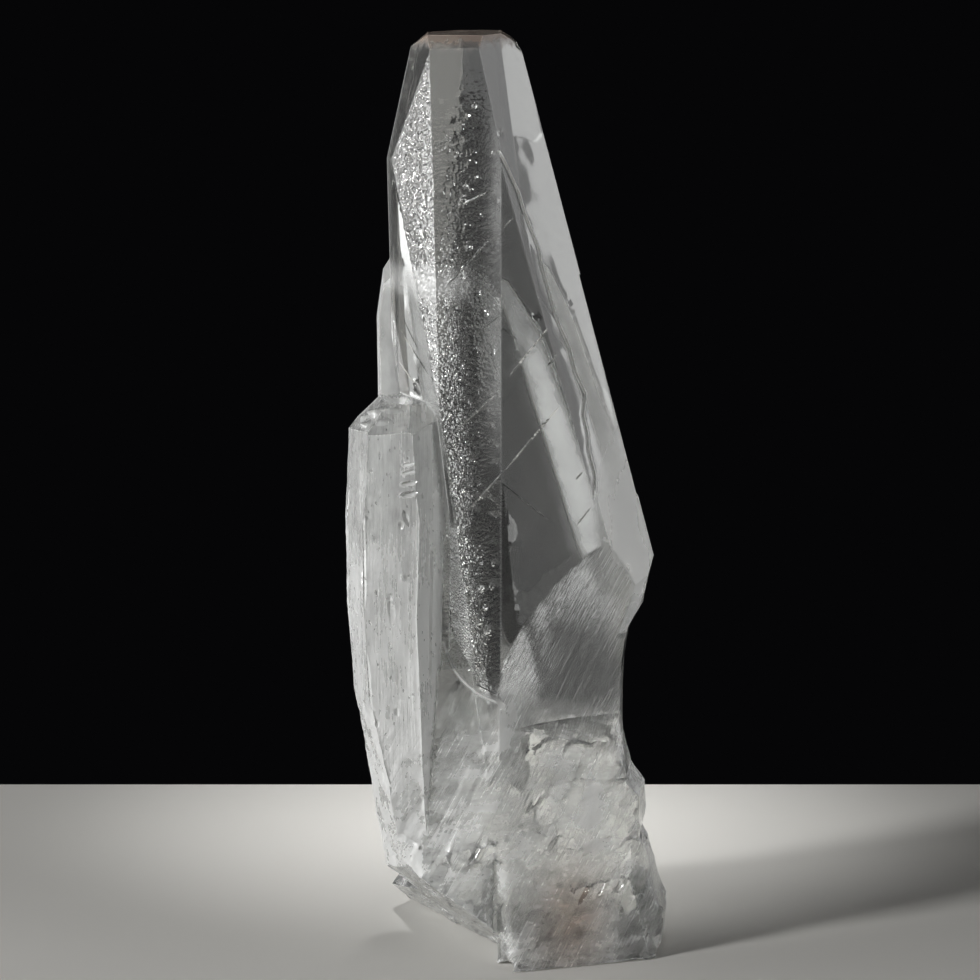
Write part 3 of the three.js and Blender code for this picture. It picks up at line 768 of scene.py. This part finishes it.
def lensEdgeLine(tree, place):
    # 1 on the thin edge, 0 away from it
    flat = addNode(tree, "ShaderNodeVectorMath", {0: place, 1: (1, 0, 1)}, operation="MULTIPLY")
    centre = ((made["axis"][0] + lensEdge["across"]) * mm, 0, lensEdge["up"] * mm)
    away = addNode(tree, "ShaderNodeVectorMath", {0: flat.outputs[0], 1: centre}, operation="DISTANCE")
    beside = addNode(tree, "ShaderNodeMath", {0: away.outputs["Value"], 1: lensEdge["radius"] * mm},
                     operation="SUBTRACT")
    line = addNode(tree, "ShaderNodeMath", {0: beside.outputs[0]}, operation="ABSOLUTE")
    wide = lensEdge["width"] * mm
    level = addNode(tree, "ShaderNodeMapRange", {"Value": line.outputs[0], "From Min": wide,
                                                 "From Max": 0.3 * wide}).outputs[0]
    parts = addNode(tree, "ShaderNodeSeparateXYZ", {0: place}).outputs
    for axis, limit in (("Z", lensEdge["top"]), ("X", lensEdge["right"] + made["axis"][0]),
                        ("Y", lensEdge["front"] + made["axis"][1])):
        inside = addNode(tree, "ShaderNodeMapRange", {"Value": parts[axis], "From Min": limit * mm,
                                                      "From Max": (limit - lensEdge["fade"]) * mm})
        level = addNode(tree, "ShaderNodeMath", {0: level, 1: inside.outputs[0]},
                        operation="MULTIPLY").outputs[0]
    return level


def clearCalcite():
    # natural calcite, clear inside: glossy growth faces, dull white where it is frosted, worn or broken,
    # and where frost is painted on as a highlight
    material = bpy.data.materials.new("naturalCalcite")
    material.use_nodes = True
    tree = material.node_tree
    tree.nodes.clear()
    marks = {name: addNode(tree, "ShaderNodeAttribute", attribute_name=name).outputs["Fac"]
             for name in ("etched", "beaded", "fluted", "broken", "shelly", "cloudyAndHighlit", "crest", "warm")}
    place = addNode(tree, "ShaderNodeTexCoord").outputs["Object"]
    noises = {}
    for name, pattern in patterns.items():
        size = (pattern["width"] * mm, pattern["length"] * mm, pattern["length"] * mm)
        grid = addNode(tree, "ShaderNodeMapping", {"Vector": place, "Scale": size,
                                                   "Rotation": (0, math.radians(pattern["turn"]), 0)},
                       vector_type="TEXTURE")
        noises[name] = addNode(tree, "ShaderNodeTexNoise", {"Vector": grid.outputs[0], "Scale": 1.0,
                                                            "Detail": pattern["detail"],
                                                            "Roughness": 0.6}).outputs["Fac"]

    cellSize = (relief["facetWidth"] * mm, relief["facetLength"] * mm, relief["facetLength"] * mm)
    cellTurn = (0, math.radians(relief["cleavageTurn"]), 0)
    cellGrid = addNode(tree, "ShaderNodeMapping", {"Vector": place, "Scale": cellSize,
                                                   "Rotation": cellTurn}, vector_type="TEXTURE")
    cells = addNode(tree, "ShaderNodeTexVoronoi", {"Vector": cellGrid.outputs[0], "Scale": 1.0})
    eachCell = addNode(tree, "ShaderNodeSeparateXYZ", {0: cells.outputs["Color"]}).outputs["Z"]

    # frost: soft patches where the surface is cloudy and where highlights are painted on as frost, more on
    # one cleavage facet than the next, fine lines where it is broken, streaks where it is fluted, thin
    # along the crests as edge wear and painted highlight, and gone in the pits
    sources = dict(noises)
    sources["even"] = 1.0
    for name, noise in (("patches", "mottle"), ("scratches", "scratch"), ("inPatches", "mottle"),
                        ("pits", "pit")):
        begins, full = limits[name]
        weakest, strongest = patchStrength if name == "patches" else (0.0, 1.0)
        sources[name] = addNode(tree, "ShaderNodeMapRange", {"Value": noises[noise], "From Min": begins,
                                                             "From Max": full, "To Min": weakest,
                                                             "To Max": strongest}).outputs[0]
    sources["patchyScratches"] = addNode(tree, "ShaderNodeMath", {0: sources["scratches"],
                                                                  1: sources["inPatches"]},
                                         operation="MULTIPLY").outputs[0]
    for name, source in (("layers", noises["layer"]), ("streaks", noises["fluting"]), ("uneven", eachCell)):
        sources[name] = addNode(tree, "ShaderNodeMath", {0: source, 1: 0.5},
                                operation="SUBTRACT").outputs[0]
    level = addNode(tree, "ShaderNodeMath", {0: sources["patches"], 1: marks["cloudyAndHighlit"]},
                    operation="MULTIPLY").outputs[0]
    for source, mark, share in frostParts:
        part = addNode(tree, "ShaderNodeMath", {0: sources[source], 1: share}, operation="MULTIPLY")
        level = addNode(tree, "ShaderNodeMath", {0: part.outputs[0], 1: marks[mark], 2: level},
                        operation="MULTIPLY_ADD").outputs[0]
    upright = addNode(tree, "ShaderNodeSeparateXYZ", {0: place}).outputs["Z"]
    ragged = addNode(tree, "ShaderNodeMath", {0: noises["ragged"], 1: finish["rimRagged"] * mm, 2: upright},
                     operation="MULTIPLY_ADD")
    raised = finish["rimRagged"] / 2
    rim = addNode(tree, "ShaderNodeMapRange", {"Value": ragged.outputs[0],
                                               "From Min": (finish["rimFrom"] + raised) * mm,
                                               "From Max": (finish["rimTo"] + raised) * mm})
    level = addNode(tree, "ShaderNodeMath", {0: rim.outputs[0], 1: finish["rimFrost"], 2: level},
                    operation="MULTIPLY_ADD").outputs[0]
    edge = lensEdgeLine(tree, place)
    frost = addNode(tree, "ShaderNodeMath", {0: edge, 1: lensEdge["frost"], 2: level},
                    operation="MULTIPLY_ADD", use_clamp=True).outputs[0]
    stain = addNode(tree, "ShaderNodeMath", {0: rim.outputs[0], 1: finish["rimStain"], 2: marks["warm"]},
                    operation="MULTIPLY_ADD", use_clamp=True).outputs[0]

    # fine relief in mm, too small for the mesh
    for name in ("bead", "grit"):
        grainGrid = addNode(tree, "ShaderNodeMapping", {"Vector": place,
                                                        "Scale": (relief[name + "Size"] * mm,) * 3},
                            vector_type="TEXTURE")
        sources[name] = addNode(tree, "ShaderNodeTexVoronoi", {"Vector": grainGrid.outputs[0],
                                                               "Scale": 1.0}).outputs["Distance"]
    height = 0.0
    for source, mark, depth in reliefParts:
        deep = addNode(tree, "ShaderNodeMath", {0: sources[source], 1: depth}, operation="MULTIPLY")
        height = addNode(tree, "ShaderNodeMath", {0: deep.outputs[0], 1: marks[mark], 2: height},
                         operation="MULTIPLY_ADD").outputs[0]
    bump = addNode(tree, "ShaderNodeBump", {"Height": height, "Strength": 1.0, "Distance": mm})

    tint = addNode(tree, "ShaderNodeMix", {"Factor": stain}, data_type="RGBA")
    tint.inputs[6].default_value = linear(finish["clear"])
    tint.inputs[7].default_value = linear(finish["stained"])
    rough = addNode(tree, "ShaderNodeMapRange", {"Value": frost, "To Min": finish["clearRoughness"],
                                                 "To Max": finish["frostRoughness"]})
    clear = addNode(tree, "ShaderNodeMapRange", {"Value": frost, "To Min": 1.0 - finish["clearOpacity"],
                                                 "To Max": 1.0 - finish["frostOpacity"]})
    surface = addNode(tree, "ShaderNodeBsdfPrincipled", {
        "Base Color": tint.outputs[2], "Roughness": rough.outputs[0], "IOR": finish["refraction"],
        "Transmission Weight": clear.outputs[0], "Normal": bump.outputs[0],
    })
    inside = addNode(tree, "ShaderNodeVolumeAbsorption", {"Color": linear(finish["inside"]),
                                                          "Density": finish["insideDensity"]})
    addNode(tree, "ShaderNodeOutputMaterial", {"Surface": surface.outputs[0], "Volume": inside.outputs[0]})
    return material


def paleFloorPaint():
    # dull pale paint on the table top, which gives back soft light without a shine
    material = bpy.data.materials.new("mattePalePaint")
    material.use_nodes = True
    surface = material.node_tree.nodes["Principled BSDF"]
    surface.inputs["Base Color"].default_value = linear(studio["table"])
    surface.inputs["Roughness"].default_value = studio["tableRoughness"]
    return material


def makeSpecimen():
    piece = meshOf("calciteSpecimen", made, marksOf(made))
    applyRelief(piece, relief, clearCalcite())
    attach(piece, "root")
    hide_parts("calcite_crystal")
    print("specimen:", len(piece.data.polygons), "triangles")
    return piece


specimen = makeSpecimen()


# The camera in mm and degrees, and the studio in metres
view = {
    "distance": 400.0,
    "height": 120.7,
    "pitch": 10.2337,
    "lens": 143.84,
    "sensor": 36,
    "nearest": 10,
}
studio = {
    "tableWidth": 0.6,
    "tableFront": -0.45,
    "tableBack": 0.062,
    "tableThickness": 0.004,
    "table": "#D9D7D2",
    "tableRoughness": 0.8,
    "world": "#060607",
    "poolLamp": (0.02, 0.02),
}


def makeCamera():
    lens = bpy.data.cameras.new("camera")
    lens.lens = view["lens"]
    lens.sensor_width = view["sensor"]
    lens.clip_start = view["nearest"] * mm
    camera = bpy.data.objects.new("camera", lens)
    axis = made["axis"]
    camera.location = Vector((axis[0], axis[1] - view["distance"], view["height"])) * mm
    camera.rotation_euler = (math.radians(90 - view["pitch"]), 0, 0)
    scene.collection.objects.link(camera)
    scene.camera = camera


def makeFloor():
    # a pale table top that ends a little way behind the specimen
    work = bmesh.new()
    bmesh.ops.create_cube(work, size=1.0)
    deep = studio["tableBack"] - studio["tableFront"]
    bmesh.ops.scale(work, verts=work.verts, vec=(studio["tableWidth"], deep, studio["tableThickness"]))
    centre = (0, (studio["tableBack"] + studio["tableFront"]) / 2, -studio["tableThickness"] / 2)
    bmesh.ops.translate(work, verts=work.verts, vec=centre)
    mesh = bpy.data.meshes.new("floor")
    work.to_mesh(mesh)
    work.free()
    mesh.materials.append(paleFloorPaint())
    floor = bpy.data.objects.new("floor", mesh)
    scene.collection.objects.link(floor)


# Each lamp is a soft panel. It stands in this direction from the middle of the specimen, this far
# away in metres, with this width and height, power in watts and turn about its own middle
lamps = {
    "keyLeft": {"azimuth": -80, "tilt": -1, "away": 0.5, "size": (0.18, 0.3),
                "power": 1.05, "roll": 0},
    "stripGlow": {"azimuth": -80, "tilt": -6, "away": 0.5, "size": (0.06, 0.034),
                  "power": 0.26, "roll": 0},
    "fillFront": {"azimuth": -58, "tilt": 20, "away": 0.5, "size": (0.07, 0.06),
                  "power": 1.7, "roll": 0},
    "fillRight": {"azimuth": 66, "tilt": 6, "away": 0.5, "size": (0.3, 0.3),
                  "power": 0.75, "roll": 0},
    "sheenRight": {"azimuth": 119, "tilt": 4, "away": 0.5, "size": (0.12, 0.2),
                   "power": 0.08, "roll": 0},
    "rightTop": {"azimuth": -134.8, "tilt": -3.1, "away": 0.128, "size": (0.012, 0.0145),
                 "power": 0.00021, "roll": 0},
    "rightFace": {"azimuth": -137.9, "tilt": -13.7, "away": 0.122, "size": (0.0095, 0.036),
                  "power": 0.00041, "roll": -11},
    "rightFoot": {"azimuth": -139.3, "tilt": -28.3, "away": 0.121, "size": (0.0095, 0.026),
                  "power": 0.00047, "roll": 4},
    "band": {"azimuth": -158.6, "tilt": -21.3, "away": 2.0, "size": (0.21, 0.224),
             "power": 0.1, "roll": 0},
    "stripBack": {"azimuth": 136, "tilt": -5, "away": 0.6, "size": (0.534, 0.137),
                  "power": 0.16, "roll": 0},
    "sparkHigh": {"azimuth": 172, "tilt": 6, "away": 0.5, "size": (0.035, 0.035),
                  "power": 0.02, "roll": 0},
    "sparkLeft": {"azimuth": 150, "tilt": -24, "away": 0.5, "size": (0.04, 0.04),
                  "power": 0.02, "roll": 0},
    "etchedFoot": {"azimuth": 157, "tilt": -20.5, "away": 1.2, "size": (0.168, 0.109),
                   "power": 0.052, "roll": 0},
    "sideBack": {"azimuth": 149.5, "tilt": -12.5, "away": 1.2, "size": (0.189, 0.147),
                 "power": 0.044, "roll": 0},
    "etchedRight": {"azimuth": -175, "tilt": -18.3, "away": 1.2, "size": (0.092, 0.067),
                    "power": 0.0039, "roll": 0},
    "topBack": {"azimuth": 176, "tilt": -10, "away": 1.2, "size": (0.168, 0.092),
                "power": 0.0045, "roll": 0},
    "breakTop": {"azimuth": -164, "tilt": -5.5, "away": 1.2, "size": (0.21, 0.18),
                 "power": 0.071, "roll": 0},
    "groove": {"azimuth": -151, "tilt": -12, "away": 1.2, "size": (0.134, 0.21),
               "power": 0.031, "roll": 0},
    "dimBack": {"azimuth": -165.5, "tilt": -16, "away": 2.3, "size": (0.606, 1.062),
                "power": 0.12, "roll": 0},
}
# Lamps that light one round of the table: its centre and radius there, and their height above it
pools = {
    "tablePool": {"at": (0.0, 0.045), "radius": 0.055, "height": 0.5, "power": 0.01},
    "frontPool": {"at": (-0.03, -0.05), "radius": 0.018, "height": 0.45, "power": 0.003},
}


def addLamp(name, size, power, place, aim, roll=0.0, spread=math.pi):
    light = bpy.data.lights.new(name, "AREA")
    light.shape = "RECTANGLE"
    light.size, light.size_y = size
    light.spread = spread
    light.energy = power
    lamp = bpy.data.objects.new(name, light)
    lamp.location = place
    turn = Quaternion((0, 0, 1), math.radians(roll))
    lamp.rotation_euler = ((place - aim).to_track_quat("Z", "Y") @ turn).to_euler()
    lamp.visible_camera = False
    scene.collection.objects.link(lamp)


def makeLamps():
    middle = Vector((0, 0, (cadLow[2] + cadHigh[2]) / 2))
    for name, lamp in lamps.items():
        place = middle + Vector(facing(lamp["azimuth"], lamp["tilt"])) * lamp["away"]
        addLamp(name, lamp["size"], lamp["power"], place, middle, lamp["roll"])
    for name, pool in pools.items():
        aim = Vector((*pool["at"], 0))
        spread = 2 * math.atan(pool["radius"] / pool["height"])
        place = aim + Vector((0, 0, pool["height"]))
        addLamp(name, studio["poolLamp"], pool["power"], place, aim, spread=spread)


def makeWorld():
    world = bpy.data.worlds.new("studio")
    world.use_nodes = True
    scene.view_settings.view_transform = "Standard"
    world.node_tree.nodes["Background"].inputs["Color"].default_value = linear(studio["world"])
    world.node_tree.nodes["Background"].inputs["Strength"].default_value = 1.0
    scene.world = world


makeCamera()
makeFloor()
makeLamps()
makeWorld()
